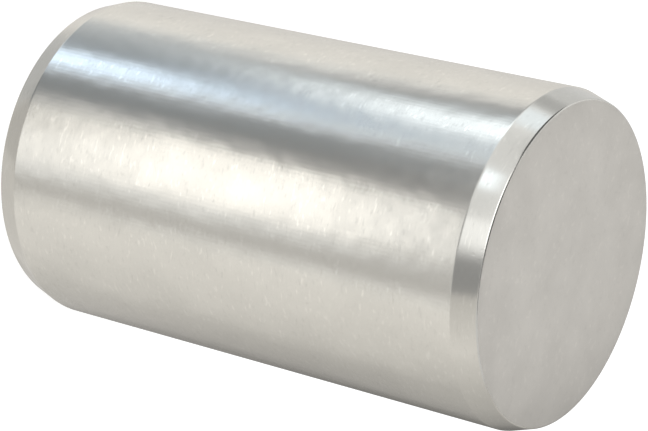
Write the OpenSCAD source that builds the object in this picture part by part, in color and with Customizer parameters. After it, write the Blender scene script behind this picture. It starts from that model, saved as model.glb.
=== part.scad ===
// Straight dowel pin: a ground shank with a short lead chamfer at each end.
// It stands on one end face. The origin is the centre of that face and +Z runs along the pin.

/* [Shank] */
// Diameter of the ground shank
shank_d = 11.11; // [6:0.01:20]
// Length over the two end faces
pin_len = 18.9; // [10:0.1:60]

/* [Ends] */
// Length of each lead chamfer, measured along the pin
chamfer_len = 0.8; // [0.4:0.05:1.5]
// Angle between the lead chamfer and the pin's axis
chamfer_angle = 18; // [10:1:30]
// Radius that breaks the edge between an end face and its chamfer
face_edge_r = 0.08; // [0.02:0.01:0.15]
// Radius that blends a chamfer into the shank
shank_edge_r = 0.3; // [0.1:0.05:0.6]

/* [Hidden] */
// Sides of a round outline wherever it is drawn as facets
$fn = 96;
steel_colour = [0.66, 0.65, 0.63];

shank_r = shank_d / 2;
// The chamfer takes this much off the radius by the time it reaches the end face
chamfer_drop = chamfer_len * tan(chamfer_angle);
face_r = shank_r - chamfer_drop;
// How far the outline turns at the two corners of a chamfer
face_turn = 90 - chamfer_angle;
shank_turn = chamfer_angle;

// Half section of the pin with sharp corners: x is the radius and y runs along the pin.
module sharp_section() {
    polygon([
        [0, 0],
        [face_r, 0],
        [shank_r, chamfer_len],
        [shank_r, pin_len - chamfer_len],
        [face_r, pin_len],
        [0, pin_len],
    ]);
}

// What an edge radius takes off one corner of the section.
// The outline reaches the corner along heading and leaves it turned left by turn.
module corner_waste(corner, heading, turn, r) {
    setback = r * tan(turn / 2);
    translate(corner) rotate(heading) difference() {
        polygon([
            [-setback, 0],
            [0, 0],
            [setback * cos(turn), setback * sin(turn)],
        ]);
        translate([-setback, r]) circle(r);
    }
}

// Both edge radii of the end that lies on the x axis.
module end_waste() {
    corner_waste([face_r, 0], 0, face_turn, face_edge_r);
    corner_waste([shank_r, chamfer_len], face_turn, shank_turn, shank_edge_r);
}

// Half section of the finished pin, with the same edge radii at both ends.
module pin_section() {
    difference() {
        sharp_section();
        end_waste();
        translate([0, pin_len]) mirror([0, 1]) end_waste();
    }
}

module dowel_pin() {
    color(steel_colour) rotate_extrude() pin_section();
}

dowel_pin();
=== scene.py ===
# %% [markdown]
# # Dowel pin
# A dowel pin is cut from steel bar, its two ends are chamfered in a lathe, and its shank is then
# ground between two wheels to a close size. It is one solid piece with three finishes: a satin
# ground shank, smoother turned chamfers, and flat matte end faces as the cut-off wheel left them.
#
# This lesson builds it in the order a maker would work: first the place where it stands and is
# looked at, then the blank, the chamfers, the broken edges, and last the three finishes.

import math

import bpy
from mathutils import Matrix, Vector


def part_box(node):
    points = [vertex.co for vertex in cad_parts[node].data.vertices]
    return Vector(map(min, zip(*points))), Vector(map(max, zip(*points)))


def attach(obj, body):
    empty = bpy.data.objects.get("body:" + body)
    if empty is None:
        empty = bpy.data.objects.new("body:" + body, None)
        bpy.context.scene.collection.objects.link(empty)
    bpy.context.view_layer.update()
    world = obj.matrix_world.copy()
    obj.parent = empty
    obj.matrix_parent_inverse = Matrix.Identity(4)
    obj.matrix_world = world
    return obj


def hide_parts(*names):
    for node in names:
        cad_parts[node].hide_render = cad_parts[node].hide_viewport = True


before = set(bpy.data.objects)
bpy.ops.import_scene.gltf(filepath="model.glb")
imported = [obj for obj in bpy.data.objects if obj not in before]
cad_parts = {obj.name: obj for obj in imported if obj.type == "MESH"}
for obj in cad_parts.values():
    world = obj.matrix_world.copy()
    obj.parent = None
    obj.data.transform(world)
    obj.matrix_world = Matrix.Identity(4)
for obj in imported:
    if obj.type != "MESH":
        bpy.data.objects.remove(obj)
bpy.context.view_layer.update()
MM = 0.001

lowest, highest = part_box("dowel_pin")
PIN_LENGTH = highest.z - lowest.z
SHANK_RADIUS = max(abs(value) for corner in (lowest, highest) for value in corner[:2])
PIN_WIDTH = 2 * SHANK_RADIUS
print(f"pin {PIN_LENGTH / MM:.2f} mm long, {PIN_WIDTH / MM:.2f} mm across")

# %% [markdown]
# ## Camera
# The pin stands on one end, but its picture is wanted lying down, as such small parts are mostly
# shown. So the pin stays where it is and the camera does the turning: it looks down at about a
# third of a right angle and is rolled a little past a quarter turn about its own line of sight.
# A long lens far away keeps the two ends almost equally wide.

# %% Where the camera looks from
LOOK_DOWN = math.radians(32.56)
ROLL = math.radians(103.55)
# The upper end face sits to the right of the picture's centre and a little below it.
FACE_RIGHT = 0.685 * PIN_WIDTH
FACE_BELOW = 0.140 * PIN_WIDTH
FACE_AWAY = 7.382 * PIN_WIDTH

sight = Vector((0, math.cos(LOOK_DOWN), -math.sin(LOOK_DOWN)))
level_right = Vector((1, 0, 0))
level_up = level_right.cross(sight)
camera_right = math.cos(ROLL) * level_right + math.sin(ROLL) * level_up
camera_up = camera_right.cross(sight)
upper_face_centre = Vector((0, 0, PIN_LENGTH))
camera_place = upper_face_centre - FACE_RIGHT * camera_right
camera_place = camera_place + FACE_BELOW * camera_up
camera_place = camera_place - FACE_AWAY * sight
print("camera at", [round(value / MM, 1) for value in camera_place], "mm")

# %% Place the camera
SENSOR_WIDTH = 36.0
LENS = 145.06
NEAREST = 0.005
FURTHEST = 50

bpy.ops.object.camera_add(location=camera_place)
camera = bpy.context.object
camera.name = "camera"
axes = Matrix((camera_right, camera_up, -sight)).transposed()
camera.rotation_euler = axes.to_euler()
camera.data.sensor_width = SENSOR_WIDTH
camera.data.lens = LENS
camera.data.clip_start = NEAREST
camera.data.clip_end = FURTHEST
bpy.context.scene.camera = camera
bpy.context.scene.view_settings.view_transform = "Standard"
print(f"lens {camera.data.lens:.0f} mm on a sensor {camera.data.sensor_width:.0f} mm wide")

# %% [markdown]
# ## Floor and world
# The floor is plain and white. Its paint is an ordinary matte white that takes the pin's soft
# shadow, with a little light of its own for what the camera sees, so that the paper stays white
# right up to the horizon. Past the floor the world is the same white for the camera and for
# reflections, and a softer grey for everything else. The floor itself is hidden from reflections,
# because the steel gets a table of its own further on.
#
# All the materials here are made of nodes. A few small helpers keep the steps short. Most of them
# add a node, set its numbers, join it up and hand back the socket that the next step needs.


# %% Materials and nodes
def new_material(name):
    """An empty material with its output node."""
    material = bpy.data.materials.new(name)
    material.use_nodes = True
    material.node_tree.nodes.clear()
    material.node_tree.nodes.new("ShaderNodeOutputMaterial").name = "Output"
    return material


def node(tree, kind, label="", **settings):
    """Adds one node, with its settings, and returns it."""
    made = tree.nodes.new(kind)
    made.label = label
    for key, value in settings.items():
        setattr(made, key, value)
    return made


# %% Sums on sockets
def feed(tree, socket, value):
    """Joins a socket to another one, or sets it to a number."""
    if isinstance(value, (int, float)):
        socket.default_value = value
    else:
        tree.links.new(value, socket)


def maths(tree, operation, *values, label=""):
    """One sum of two or three values, each a socket or a number."""
    made = node(tree, "ShaderNodeMath", label, operation=operation)
    for socket, value in zip(made.inputs, values):
        feed(tree, socket, value)
    return made.outputs[0]


def remap(tree, value, low, high, to_low=0.0, to_high=1.0):
    """Takes the stretch from low to high, clamped, to another stretch."""
    made = node(tree, "ShaderNodeMapRange")
    made.inputs["From Min"].default_value = low
    made.inputs["From Max"].default_value = high
    made.inputs["To Min"].default_value = to_low
    made.inputs["To Max"].default_value = to_high
    tree.links.new(value, made.inputs["Value"])
    return made.outputs[0]


def background_ray(tree):
    """1 where the camera looks straight, in a reflection or through glass, and 0 elsewhere."""
    ray = node(tree, "ShaderNodeLightPath").outputs
    seen = maths(tree, "MAXIMUM", ray["Is Camera Ray"], ray["Is Glossy Ray"], label="or reflected")
    return maths(tree, "MAXIMUM", seen, ray["Is Transmission Ray"], label="or seen through")


# %% Floor
FLOOR_SIZE = 6.0
FLOOR_WHITE = 0.85
FLOOR_GLOW = 0.55

bpy.ops.mesh.primitive_plane_add(size=FLOOR_SIZE)
floor = bpy.context.object
floor.name = "floor"
floor.visible_glossy = False

floor_paper = new_material("floor_paper")
tree = floor_paper.node_tree
paper = node(tree, "ShaderNodeBsdfDiffuse", "matte white paper")
paper.inputs["Color"].default_value = (FLOOR_WHITE, FLOOR_WHITE, FLOOR_WHITE, 1)
glow = node(tree, "ShaderNodeEmission", "glow for the camera")
glow_strength = maths(tree, "MULTIPLY", background_ray(tree), FLOOR_GLOW, label="glow strength")
both = node(tree, "ShaderNodeAddShader")
tree.links.new(glow_strength, glow.inputs["Strength"])
tree.links.new(paper.outputs[0], both.inputs[0])
tree.links.new(glow.outputs[0], both.inputs[1])
tree.links.new(both.outputs[0], tree.nodes["Output"].inputs["Surface"])
floor.data.materials.append(floor_paper)
print(f"floor {FLOOR_SIZE:.0f} m wide")

# %% World
WORLD_FILL = 0.55
WORLD_WHITE = 1.0

world = bpy.data.worlds.new("studio")
bpy.context.scene.world = world
world.use_nodes = True
tree = world.node_tree
tree.nodes.clear()
world_strength = remap(tree, background_ray(tree), 0.0, 1.0, WORLD_FILL, WORLD_WHITE)
backdrop = node(tree, "ShaderNodeBackground")
backdrop.inputs["Color"].default_value = (1, 1, 1, 1)
output = node(tree, "ShaderNodeOutputWorld")
tree.links.new(world_strength, backdrop.inputs["Strength"])
tree.links.new(backdrop.outputs[0], output.inputs["Surface"])
print("world white for the camera, and", WORLD_FILL, "for other light")

# %% [markdown]
# ## Lamps
# Two square lamps with soft edges stand over the floor: a key in front and a weaker fill behind
# and to the left. They give the floor its even light and the pin its shadow. They are kept out of
# reflections, where the cards further on do their work.

# %% Lamps
KEY_PLACE = (0.05, -0.30, 0.35)
FILL_PLACE = (-0.30, 0.10, 0.30)
LAMP_SIZE = 0.30
KEY_POWER = 0.55
FILL_SHARE = 0.4


def soft_lamp(name, place, power):
    """A square soft lamp that faces the middle of the pin."""
    bpy.ops.object.light_add(type="AREA", location=place)
    lamp = bpy.context.object
    lamp.name = name
    lamp.data.shape = "SQUARE"
    lamp.data.size = LAMP_SIZE
    lamp.data.energy = power
    aim = Vector((0, 0, PIN_LENGTH / 2)) - Vector(place)
    lamp.rotation_euler = aim.to_track_quat("-Z", "Y").to_euler()
    lamp.visible_glossy = False
    print(name, "lamp:", round(power, 2), "W")


soft_lamp("key", KEY_PLACE, KEY_POWER)
soft_lamp("fill", FILL_PLACE, FILL_SHARE * KEY_POWER)

# %% [markdown]
# ## What the steel reflects
# Polished or ground metal has almost no look of its own: it shows what stands around it. A studio
# therefore surrounds it with cards. White and bright ones make the highlights, and grey ones draw
# the dark lines along the shank that tell the eye it is round. A view of a whole room wrapped
# round the world would also do, but then no single light could be moved.
#
# Each card here is a patch of a very large ball around the pin, given by the turns and heights it
# covers, and it is seen by reflections alone. It fades out at its edges, as a soft light does.

# %% Directions and tints
WHITE = (1.0, 1.0, 1.0)
WARM = (1.0, 0.97, 0.93)
COOL = (0.93, 1.0, 1.06)
SKY = (0.8, 0.98, 1.22)
HAZE = (0.92, 1.0, 1.08)


def direction(turn, height):
    """The unit vector at that turn, from the camera's side towards +X, and height, in degrees."""
    turned, raised = math.radians(turn), math.radians(height)
    across = math.cos(raised)
    return Vector((math.sin(turned) * across, -math.cos(turned) * across, math.sin(raised)))


print("turn 90, height 30 points along", [round(value, 2) for value in direction(90, 30)])

# %% A card's light
MIDDLE = 0.5


def faded_edges(tree, sides, size, soft):
    """How much of the card is there: all of it in the middle, and nothing at its four edges."""
    fades = []
    for axis in range(2):
        edge = maths(tree, "PINGPONG", sides[axis], MIDDLE, label="distance from the nearer edge")
        fade = node(tree, "ShaderNodeMapRange", interpolation_type="SMOOTHSTEP")
        fade.inputs["From Max"].default_value = min(MIDDLE, soft / size[axis])
        tree.links.new(edge, fade.inputs["Value"])
        fades.append(fade.outputs[0])
    return maths(tree, "MULTIPLY", *fades, label="cover")


def card_light(name, size, light, far_light, tint, soft):
    """Light that changes evenly from one side of the card to the other."""
    material = new_material(name)
    tree = material.node_tree
    place = node(tree, "ShaderNodeSeparateXYZ")
    tree.links.new(node(tree, "ShaderNodeTexCoord").outputs["UV"], place.inputs[0])
    lit = node(tree, "ShaderNodeEmission")
    lit.inputs["Color"].default_value = (*tint, 1)
    strength = remap(tree, place.outputs[0], 0.0, 1.0, light, far_light)
    tree.links.new(strength, lit.inputs["Strength"])
    clear = node(tree, "ShaderNodeBsdfTransparent")
    mixed = node(tree, "ShaderNodeMixShader")
    tree.links.new(faded_edges(tree, place.outputs, size, soft), mixed.inputs[0])
    tree.links.new(clear.outputs[0], mixed.inputs[1])
    tree.links.new(lit.outputs[0], mixed.inputs[2])
    tree.links.new(mixed.outputs[0], tree.nodes["Output"].inputs["Surface"])
    material.cycles.emission_sampling = "NONE"
    return material


# %% A card
CARD_DISTANCE = 3.0
CARD_GAP = 0.02
CARD_STEP = 4.0
FEWEST_STEPS = 2
cards = []


def card(name, turn, height, light, far_light=None, tint=WHITE, roll=0.0, soft=4.0):
    """A curved card, in front of those before it. Turn runs from the camera's side towards +X and
    height from the horizon up, in degrees, and roll tips the card about its own middle. Light is
    the brightness, with another at the far side if wanted, and soft is the fading edge's width."""
    size = (turn[1] - turn[0], height[1] - height[0])
    columns, rows = (max(FEWEST_STEPS, round(extent / CARD_STEP)) for extent in size)
    bpy.ops.mesh.primitive_grid_add(x_subdivisions=columns, y_subdivisions=rows, size=1)
    piece = bpy.context.object
    piece.name = name
    distance = CARD_DISTANCE - CARD_GAP * len(cards)
    middle = direction(sum(turn) / 2, sum(height) / 2)
    tip = Matrix.Rotation(math.radians(roll), 3, middle)
    for vertex in piece.data.vertices:
        across = turn[0] + (vertex.co.x + MIDDLE) * size[0]
        up = height[0] + (vertex.co.y + MIDDLE) * size[1]
        vertex.co = tip @ direction(across, up) * distance
    if far_light is None:
        far_light = light
    piece.data.materials.append(card_light(name, size, light, far_light, tint, soft))
    piece.visible_camera = False
    piece.visible_diffuse = False
    piece.visible_shadow = False
    cards.append(piece)


# %% [markdown]
# ## Walls and table
# The widest cards come first, because later ones hang in front of them. The table under the pin
# is a warm grey, a little darker to the left and in front. The front wall is pale. The two side
# walls fade into shade towards the back of the room, and each has a second card for its upper
# part. On the right a shaded stretch leads to a dark back corner, with one pale patch low in it,
# which draws the dim edge along that side of the shank.

# %% Walls and table
card("table", (-180, 180), (-90, -45), 0.75, tint=WARM, soft=6)
card("table_left", (-165, -45), (-82, -50), 0.62, soft=8)
card("table_front", (-50, 40), (-88, -50), 0.6, tint=WARM, soft=8)
card("front_wall", (-80, 45), (-18, 30), 0.91)
card("left_wall", (-200, -105), (-59, 25), 0.5, 1.12, tint=WARM, soft=10)
card("left_wall_top", (-200, -110), (-24, 20), 0.67, 0.78, soft=6)
card("right_wall", (40, 185), (-50, 25), 1.08, 0.4, tint=WARM, soft=8)
card("right_wall_top", (42, 172), (-34, 25), 1.04, 0.22, tint=WARM, soft=10)
card("right_shade", (104, 158), (-40, -20), 0.62, 0.36, tint=WARM, soft=8)
card("back_corner", (140, 190), (-46, -8), 0.18, tint=WARM, soft=20)
card("corner_light", (140, 168), (-56, -36), 0.62, tint=WARM)
print(len(cards), "cards for the walls and the table")

# %% [markdown]
# ## Window
# Daylight is the only cool light in the room, and it draws the pale blue streak along the shank.
# A hazy sky carries two bright panes, one higher and further to the side than the other, and a
# dimmer one at the top. A bar crosses it between the panes, and dark frames stand on its outer
# side. Some of them are tipped, so that their reflections run aslant along the shank.

# %% Window
card("sky", (-98, -50), (-56, -16), 0.92, tint=HAZE)
card("window_low", (-75, -60), (-58, -34), 2.2, tint=SKY, roll=-27)
card("window_high", (-88, -68), (-34, -10), 2.0, tint=COOL, soft=6)
card("window_top", (-102, -82), (-12, 6), 1.25, tint=COOL)
card("window_bar", (-86, -57), (-39, -30), 0.56, tint=SKY, roll=14, soft=3)
card("frame_low", (-110, -72), (-48, -33), 0.75, 0.1, tint=COOL, soft=5)
card("frame_high", (-106, -92), (-36, -14), 0.2, roll=35)
card("frame_top", (-122, -101), (-20, 4), 0.55, soft=6)
print(len(cards), "cards with the window")

# %% [markdown]
# ## Softbox and flags
# The softbox hangs in front and makes the wide bright band. Its core is hotter than its edges,
# as it is over the bulb, and one lower corner is shaded. A flag is a dark card that keeps light
# off: the left one, with its foot, top, step and tip, draws the darkest line along the shank,
# and the right one ends the band more softly. A dark shelf parts the softbox from two small
# lamps above it, which the chamfer mirrors and the shank doesn't. The right flag reaches up
# beside them and darkens one patch of the chamfer.

# %% Softbox and flags
card("right_flag_low", (26, 42), (-50, -20), 0.57, tint=WARM)
card("right_flag_foot", (38, 54), (-52, -38), 0.8, tint=WARM)
card("softbox", (-25.5, 19), (-42, -27.5), 1.9, tint=WARM)
card("softbox_core", (-11, 8), (-37, -28), 2.2, tint=WARM, soft=5)
card("softbox_corner", (-34, -4), (-54, -39), 0.42, tint=WARM, soft=6)
card("shelf", (-24, 12), (-25, -9), 0.35)
card("left_flag", (-52, -30), (-70, -22), 0.27, tint=COOL)
card("left_flag_foot", (-59, -46), (-66, -40), 0.15)
card("left_flag_top", (-36, -17), (-36, -20), 0.22, roll=-30)
card("left_flag_step", (-37, -28), (-36, -29), 0.12, soft=2)
card("left_flag_tip", (-50, -38), (-30, -18), 0.2)
card("right_flag_top", (12, 43), (-30, -18), 0.55, tint=WARM)
card("right_flag", (4, 60), (-20, 60), 0.36, soft=9)
card("right_flag_edge", (31, 75), (-20, 60), 0.68, 0.9, tint=WARM, soft=4)
card("small_lamp", (-48, -32), (-6, 10), 1.7, tint=COOL)
card("upper_lamp", (-17, 5), (-6, 22), 1.31)
print(len(cards), "cards with the softbox and its flags")

# %% [markdown]
# ## Ceiling
# The end face looks up at the ceiling behind the pin, so most of it is a dull even white. Over the
# pin hang one bright panel and three dark ones. They are too high for the shank, but the tiny
# radius round the end face mirrors them all, and they draw a fine bright line and a fine dark one
# along its edge.

# %% Ceiling
card("ceiling_right", (40, 172), (18, 84), 0.75, soft=8)
card("ceiling_right_low", (105, 165), (6, 46), 0.62, tint=WARM, soft=6)
card("ceiling_back", (-210, -118), (18, 62), 0.94, soft=8)
card("ceiling_light", (-54, 5), (14, 60), 2.2, soft=8)
card("ceiling_flag", (-200, 40), (60, 90), 0.1)
card("ceiling_flag_right", (36, 104), (62, 90), 0.12)
card("ceiling_flag_left", (-122, -66), (4, 60), 0.12, roll=8, soft=3)
print(len(cards), "cards in all")

# %% [markdown]
# ## The blank
# The steel starts as a plain round bar. A revolved outline would give the whole pin at once, but
# the cuts are easier to follow one by one. So the bar is added at its finished diameter, and only
# as long as the part that stays a true cylinder, because the chamfers are drawn out of its two
# ends next.

# %% Blank
SIDES = 256
CHAMFER_LENGTH = 0.8 * MM

bpy.ops.object.select_all(action="DESELECT")
bpy.ops.mesh.primitive_cylinder_add(
    vertices=SIDES,
    radius=SHANK_RADIUS,
    depth=PIN_LENGTH - 2 * CHAMFER_LENGTH,
    end_fill_type="NGON",
    location=(0, 0, PIN_LENGTH / 2),
)
pin = bpy.context.object
pin.name = "pin_body"
bpy.ops.object.transform_apply(location=True, rotation=True, scale=True)
print("blank:", len(pin.data.polygons), "faces")

# %% [markdown]
# ## The lead chamfers
# A chamfer at each end lets the pin find its hole. In the lathe it is one short cut at a slight
# angle. Here each end face is pushed out by the chamfer's length and drawn in to the width that
# the angle leaves. The face to push is found by its height, as one would click on it by hand.


# %% Selecting by place
def select_faces(piece, wanted):
    """In edit mode, selects the faces for which wanted(face) is true and nothing else."""
    bpy.ops.mesh.select_mode(type="FACE")
    bpy.ops.mesh.select_all(action="DESELECT")
    bpy.ops.object.mode_set(mode="OBJECT")
    for face in piece.data.polygons:
        face.select = wanted(face)
    bpy.ops.object.mode_set(mode="EDIT")


def select_edges(piece, wanted):
    """In edit mode, selects the edges whose two end points both make wanted(point) true."""
    bpy.ops.mesh.select_mode(type="EDGE")
    bpy.ops.mesh.select_all(action="DESELECT")
    bpy.ops.object.mode_set(mode="OBJECT")
    points = piece.data.vertices
    for edge in piece.data.edges:
        edge.select = all(wanted(points[i].co) for i in edge.vertices)
    bpy.ops.object.mode_set(mode="EDIT")


# %% Chamfers
CHAMFER_ANGLE = math.radians(18)
FACE_RADIUS = SHANK_RADIUS - CHAMFER_LENGTH * math.tan(CHAMFER_ANGLE)
TINY = 1e-6

bpy.ops.object.mode_set(mode="EDIT")
for end, way in ((CHAMFER_LENGTH, -1), (PIN_LENGTH - CHAMFER_LENGTH, 1)):
    select_faces(pin, lambda face, end=end: abs(face.center.z - end) < TINY)
    outwards = (0, 0, way * CHAMFER_LENGTH)
    bpy.ops.mesh.extrude_region_move(TRANSFORM_OT_translate={"value": outwards})
    shrink = FACE_RADIUS / SHANK_RADIUS
    bpy.ops.transform.resize(value=(shrink, shrink, 1))
print(f"end faces {2 * FACE_RADIUS / MM:.2f} mm across")

# %% [markdown]
# ## Broken edges
# No ground part leaves the shop with a sharp edge. The corner between an end face and its chamfer
# is broken by a few hundredths of a millimetre, and the grinding wheel leaves a softer blend
# where the chamfer meets the shank. Both are bevels, as wide as a true fillet of that radius sets
# back from the corner. A bevel modifier could round them too, but the two kinds of corner have
# their own radii, so each is chosen and rounded by itself in edit mode.

# %% Bevels
FACE_EDGE_RADIUS = 0.08 * MM
FACE_EDGE_TURN = math.radians(90) - CHAMFER_ANGLE
FACE_EDGE_STEPS = 8
SHANK_EDGE_RADIUS = 0.3 * MM
SHANK_EDGE_STEPS = 4
ROUND_PROFILE = 0.5
SMOOTH_BELOW = math.radians(30)


def break_edges(heights, radius, turn, steps):
    """Rounds the rings of edges at these heights with a fillet of that radius."""
    select_edges(pin, lambda point: any(abs(point.z - height) < TINY for height in heights))
    bpy.ops.mesh.bevel(
        offset_type="OFFSET",
        offset=radius * math.tan(turn / 2),
        segments=steps,
        profile=ROUND_PROFILE,
        affect="EDGES",
    )


face_rings = (0, PIN_LENGTH)
shank_rings = (CHAMFER_LENGTH, PIN_LENGTH - CHAMFER_LENGTH)
break_edges(face_rings, FACE_EDGE_RADIUS, FACE_EDGE_TURN, FACE_EDGE_STEPS)
break_edges(shank_rings, SHANK_EDGE_RADIUS, CHAMFER_ANGLE, SHANK_EDGE_STEPS)
bpy.ops.object.mode_set(mode="OBJECT")
bpy.ops.object.shade_smooth_by_angle(angle=SMOOTH_BELOW)
print("pin:", len(pin.data.polygons), "faces")

# %% [markdown]
# ## Marks that all the finishes share
# Seen close up, worked steel is never even. Three effects are used by more than one finish, so each
# is a node group with named inputs, built once and placed in each material with its own values.
#
# The strokes are what the grit or the tool's edge leaves: short fine scratches that lie round the
# pin. The pattern is a noise that is stretched, slow round the pin and quick along it, so every
# stroke follows the surface and there is no seam. On the flat ends it is a plain fine grain.
#
# The unevenness is wider and softer, and a little longer along the pin than round it: the wheel
# never cuts quite the same, so a straight reflection gets a slightly wavy edge. The specks are the
# few pits and bruises that a pin picks up in its box.


# %% Making node groups
def new_group(name, inputs, outputs):
    """A shader node group with coordinates and named numbers in, and named numbers out."""
    group = bpy.data.node_groups.new(name, "ShaderNodeTree")
    group.interface.new_socket("Place", in_out="INPUT", socket_type="NodeSocketVector")
    for label in inputs:
        group.interface.new_socket(label, in_out="INPUT", socket_type="NodeSocketFloat")
    for label in outputs:
        group.interface.new_socket(label, in_out="OUTPUT", socket_type="NodeSocketFloat")
    return group, node(group, "NodeGroupInput").outputs, node(group, "NodeGroupOutput").inputs


def use_group(tree, group, place, **values):
    """Places a group in a material, joined to its coordinates, with its own values."""
    made = node(tree, "ShaderNodeGroup", group.name, node_tree=group)
    tree.links.new(place, made.inputs["Place"])
    for label, value in values.items():
        made.inputs[label].default_value = value
    return made.outputs


# %% Stretched noise
def stretch(tree, place, x, y, z):
    """Multiplies a coordinate by its own amount along each axis."""
    amounts = node(tree, "ShaderNodeCombineXYZ")
    for socket, value in zip(amounts.inputs, (x, y, z)):
        feed(tree, socket, value)
    made = node(tree, "ShaderNodeVectorMath", operation="MULTIPLY")
    tree.links.new(place, made.inputs[0])
    tree.links.new(amounts.outputs[0], made.inputs[1])
    return made.outputs[0]


def noise(tree, place, detail, scale=1.0):
    """A noise in three dimensions at that coordinate."""
    made = node(tree, "ShaderNodeTexNoise")
    made.inputs["Scale"].default_value = scale
    made.inputs["Detail"].default_value = detail
    tree.links.new(place, made.inputs["Vector"])
    return made.outputs["Fac"]


# %% Strokes
# Round and Along are patterns to the metre, round the pin and along it. The highest tops of the
# noise are the bright strokes and its deepest hollows the dark ones.
STROKE_DETAIL = 1.0
BRIGHT_STROKES = (0.62, 0.76)
DARK_STROKES = (0.38, 0.24)

strokes, given, result = new_group("strokes", ("Round", "Along"), ("Height", "Bright", "Dark"))
spread = stretch(strokes, given["Place"], given["Round"], given["Round"], given["Along"])
scratches = noise(strokes, spread, STROKE_DETAIL)
strokes.links.new(scratches, result["Height"])
strokes.links.new(remap(strokes, scratches, *BRIGHT_STROKES), result["Bright"])
strokes.links.new(remap(strokes, scratches, *DARK_STROKES), result["Dark"])
print("strokes:", len(strokes.nodes), "nodes")

# %% Unevenness
# The waves are for the relief, and the mottle, wider and with finer detail in it, for the colour.
WAVE_DETAIL = 0.6
MOTTLE_DETAIL = 4.0
MOTTLE_SCALE = 0.35
MOTTLE_RANGE = (0.3, 0.7)

unevenness, given, result = new_group("unevenness", ("Round", "Along"), ("Height", "Mottle"))
spread = stretch(unevenness, given["Place"], given["Round"], given["Round"], given["Along"])
unevenness.links.new(noise(unevenness, spread, WAVE_DETAIL), result["Height"])
clouds = noise(unevenness, spread, MOTTLE_DETAIL, MOTTLE_SCALE)
unevenness.links.new(remap(unevenness, clouds, *MOTTLE_RANGE), result["Mottle"])
print("unevenness:", len(unevenness.nodes), "nodes")

# %% Specks
# Size is patterns to the metre in every direction, and only the noise's rare tops are pits.
SPECK_DETAIL = 1.0
SPECK_TOPS = (0.66, 0.74)

specks, given, result = new_group("specks", ("Size",), ("Pits",))
spread = stretch(specks, given["Place"], given["Size"], given["Size"], given["Size"])
tops = noise(specks, spread, SPECK_DETAIL)
specks.links.new(remap(specks, tops, *SPECK_TOPS), result["Pits"])
print("specks:", len(specks.nodes), "nodes")

# %% [markdown]
# ## Darker rim and painted shade
# An end face isn't quite one tone either. Its colour is made slightly darker towards its rim,
# and a painted shade darkens it most on one side. A mask in an image would do this too, but it
# would need an image. A few sums on the distance from the pin's axis give the same at any size.
# They are a group as well, so that the material shows them as one step.

# %% Darker rim and painted shade
# The painted shade is darkest on the side of the end face at this turn.
PAINTED_SHADE_TURN = 110
RIM_SHARE = 0.3
RIM_STEEPNESS = 8.0
SIDE_RANGE = (0.2, 0.96)
SIDE_STEEPNESS = 2.0

# Darker towards the rim, and a painted shade that darkens one side of the end face.
dark_rim_and_painted_shade, given, result = new_group("dark_rim_and_painted_shade", ("Radius",), ("Mask",))
flat = stretch(dark_rim_and_painted_shade, given["Place"], 1.0, 1.0, 0.0)
reach = node(dark_rim_and_painted_shade, "ShaderNodeVectorMath", "distance from the axis", operation="LENGTH")
dark_rim_and_painted_shade.links.new(flat, reach.inputs[0])
rim = maths(dark_rim_and_painted_shade, "DIVIDE", reach.outputs["Value"], given["Radius"])
rim = maths(dark_rim_and_painted_shade, "POWER", rim, RIM_STEEPNESS)
# The painted shade grows towards that side.
painted_shade_side = node(dark_rim_and_painted_shade, "ShaderNodeVectorMath", "towards the painted shade", operation="DOT_PRODUCT")
painted_shade_side.inputs[1].default_value = direction(PAINTED_SHADE_TURN, 0)
dark_rim_and_painted_shade.links.new(flat, painted_shade_side.inputs[0])
side = maths(dark_rim_and_painted_shade, "DIVIDE", painted_shade_side.outputs["Value"], given["Radius"])
side = maths(dark_rim_and_painted_shade, "POWER", remap(dark_rim_and_painted_shade, side, *SIDE_RANGE), SIDE_STEEPNESS)
side = maths(dark_rim_and_painted_shade, "MULTIPLY", side, 1 - RIM_SHARE)
dark_rim_and_painted_shade.links.new(maths(dark_rim_and_painted_shade, "MULTIPLY_ADD", rim, RIM_SHARE, side), result["Mask"])
print("dull rim:", len(dark_rim_and_painted_shade.nodes), "nodes")

# %% [markdown]
# ## Three finishes
# The base colour of bare steel is a light warm grey. Each finish is the same metal with its own
# roughness: the wheel leaves a satin shank, the lathe's sharp insert a brighter chamfer, and the
# cut-off ends are flat and dull, darker towards the rim and with a painted shade on one side. One
# function builds all three, because they differ in values and not in kind. Colour, roughness and
# relief all read the same strokes and unevenness, as they would on the real metal, where a scratch
# is at once a groove and a duller line.

# %% Tone and relief
# The tone runs from 0, where the metal is darkest, to 1, where it is lightest.
TONE_START = 0.3
MOTTLE_SHARE = 0.4
BRIGHT_SHARE = 1.5
PIT_SHADE = 0.1
MICRON = 1e-6


def surface_tone(tree, scratch, uneven, speck, contrast):
    """How light each place is, from its strokes, mottle and pits."""
    bright = maths(tree, "MULTIPLY", scratch["Bright"], BRIGHT_SHARE)
    balance = maths(tree, "SUBTRACT", bright, scratch["Dark"])
    drift = maths(tree, "MULTIPLY_ADD", uneven["Mottle"], MOTTLE_SHARE, TONE_START)
    tone = maths(tree, "MULTIPLY_ADD", balance, contrast, drift)
    return maths(tree, "SUBTRACT", tone, maths(tree, "MULTIPLY", speck["Pits"], PIT_SHADE))


def surface_relief(tree, scratch, uneven, speck, groove, wave, pit):
    """The bumps that the strokes, the waves and the pits make, all in microns."""
    height = maths(tree, "MULTIPLY", scratch["Height"], groove)
    height = maths(tree, "ADD", height, maths(tree, "MULTIPLY", uneven["Height"], wave))
    height = maths(tree, "SUBTRACT", height, maths(tree, "MULTIPLY", speck["Pits"], pit))
    bump = node(tree, "ShaderNodeBump", "relief in microns")
    bump.inputs["Distance"].default_value = MICRON
    tree.links.new(height, bump.inputs["Height"])
    return bump.outputs[0]


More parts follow.
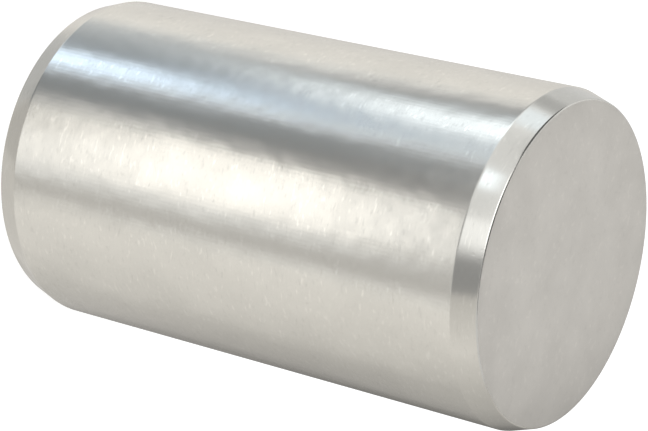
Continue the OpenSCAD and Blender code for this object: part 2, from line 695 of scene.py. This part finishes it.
# %% Base colour
LIGHTER = (1.08, 1.08, 1.08)
DARKER = (0.92, 0.92, 0.92)
# The darkest that the rim and the painted shade make the end's colour.
RIM_AND_SHADE_DARKEST = (0.77, 0.77, 0.77)


def blend_colours(tree, label, factor, first, second, way="MIX"):
    """Two colours mixed by a factor. Each is a socket or three numbers."""
    made = node(tree, "ShaderNodeMix", label, data_type="RGBA", blend_type=way)
    tree.links.new(factor, made.inputs["Factor"])
    sockets = [socket for socket in made.inputs if socket.type == "RGBA"]
    for socket, value in zip(sockets, (first, second)):
        if isinstance(value, tuple):
            socket.default_value = (*value, 1)
        else:
            tree.links.new(value, socket)
    return made.outputs["Result"]


def steel_colour(tree, colour, tone):
    """The metal's own colour, a little darker or lighter by its tone."""
    darkest = tuple(own * change for own, change in zip(colour, DARKER))
    lightest = tuple(own * change for own, change in zip(colour, LIGHTER))
    return blend_colours(tree, "darker to lighter", tone, darkest, lightest)


# %% A finish
UNEVEN_ROUND = 2100.0
UNEVEN_ALONG = 1500.0
SPECK_SIZE = 7000.0
ROUGHNESS_SWING = 0.03


def finish(name, colour, roughness, stroke_size, contrast, groove, wave, pit, with_rim_and_painted_shade=False):
    """A metal whose colour, roughness and relief all change a little over the surface.
    Stroke size is patterns to the metre round and along the pin, contrast is how far the strokes
    reach from dark to light, and groove, wave and pit are the heights of the strokes, the
    unevenness and the specks in microns. An end finish is made darker towards its rim, with a
    painted shade on one side."""
    material = new_material(name)
    tree = material.node_tree
    place = node(tree, "ShaderNodeTexCoord").outputs["Object"]
    stroke_round, stroke_along = stroke_size
    scratch = use_group(tree, strokes, place, Round=stroke_round, Along=stroke_along)
    uneven = use_group(tree, unevenness, place, Round=UNEVEN_ROUND, Along=UNEVEN_ALONG)
    speck = use_group(tree, specks, place, Size=SPECK_SIZE)

    tone = surface_tone(tree, scratch, uneven, speck, contrast)
    base = steel_colour(tree, colour, tone)
    # The end's colour is made darker towards its rim, with a painted shade on one side.
    if with_rim_and_painted_shade:
        mask = use_group(tree, dark_rim_and_painted_shade, place, Radius=FACE_RADIUS)["Mask"]
        base = blend_colours(tree, "duller at the rim", mask, base, RIM_AND_SHADE_DARKEST, way="MULTIPLY")
    roughest = roughness + ROUGHNESS_SWING
    smoothest = roughness - ROUGHNESS_SWING

    metal = node(tree, "ShaderNodeBsdfPrincipled")
    metal.inputs["Metallic"].default_value = 1.0
    tree.links.new(base, metal.inputs["Base Color"])
    tree.links.new(remap(tree, tone, 0.0, 1.0, roughest, smoothest), metal.inputs["Roughness"])
    relief = surface_relief(tree, scratch, uneven, speck, groove, wave, pit)
    tree.links.new(relief, metal.inputs["Normal"])
    tree.links.new(metal.outputs[0], tree.nodes["Output"].inputs["Surface"])
    print(name, "roughness", roughness, "with", len(tree.nodes), "nodes")
    return material


# %% The three finishes
STEEL = (0.688, 0.68, 0.64)
END_STEEL = (0.685, 0.662, 0.62)

ground = finish(
    "ground_shank",
    STEEL,
    roughness=0.23,
    stroke_size=(3500, 9000),
    contrast=0.36,
    groove=0.3,
    wave=8.0,
    pit=0.3,
)
turned = finish(
    "turned_chamfer",
    STEEL,
    roughness=0.17,
    stroke_size=(3000, 14000),
    contrast=0.3,
    groove=0.4,
    wave=3.0,
    pit=0.5,
)
matte = finish(
    "matte_end",
    END_STEEL,
    roughness=0.5,
    stroke_size=(5000, 5000),
    contrast=0.2,
    groove=0.7,
    wave=2.0,
    pit=1.5,
    with_rim_and_painted_shade=True,
)

# %% [markdown]
# ## Each face gets its finish
# The pin stays one mesh, as it is one piece of steel, and each face is given one of the three
# materials. Which one depends on how far it looks up or down: a shank's face looks sideways, a
# chamfer's slightly up or down, and an end's straight. The limits lie within the two bevels, so
# that one finish gives way to the next where the edge is rounded.

# %% Each face gets its finish
SHANK, CHAMFER, END = range(3)
SHANK_LIMIT = math.sin(CHAMFER_ANGLE / 2)
CHAMFER_LIMIT = math.sin(math.radians(74))

for material in (ground, turned, matte):
    pin.data.materials.append(material)
for face in pin.data.polygons:
    upright = abs(face.normal.z)
    if upright < SHANK_LIMIT:
        face.material_index = SHANK
    elif upright < CHAMFER_LIMIT:
        face.material_index = CHAMFER
    else:
        face.material_index = END
counts = [sum(face.material_index == i for face in pin.data.polygons) for i in range(3)]
print("faces of shank, chamfers and ends:", counts)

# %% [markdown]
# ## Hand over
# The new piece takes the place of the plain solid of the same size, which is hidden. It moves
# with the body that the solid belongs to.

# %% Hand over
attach(pin, "root")
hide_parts("dowel_pin")
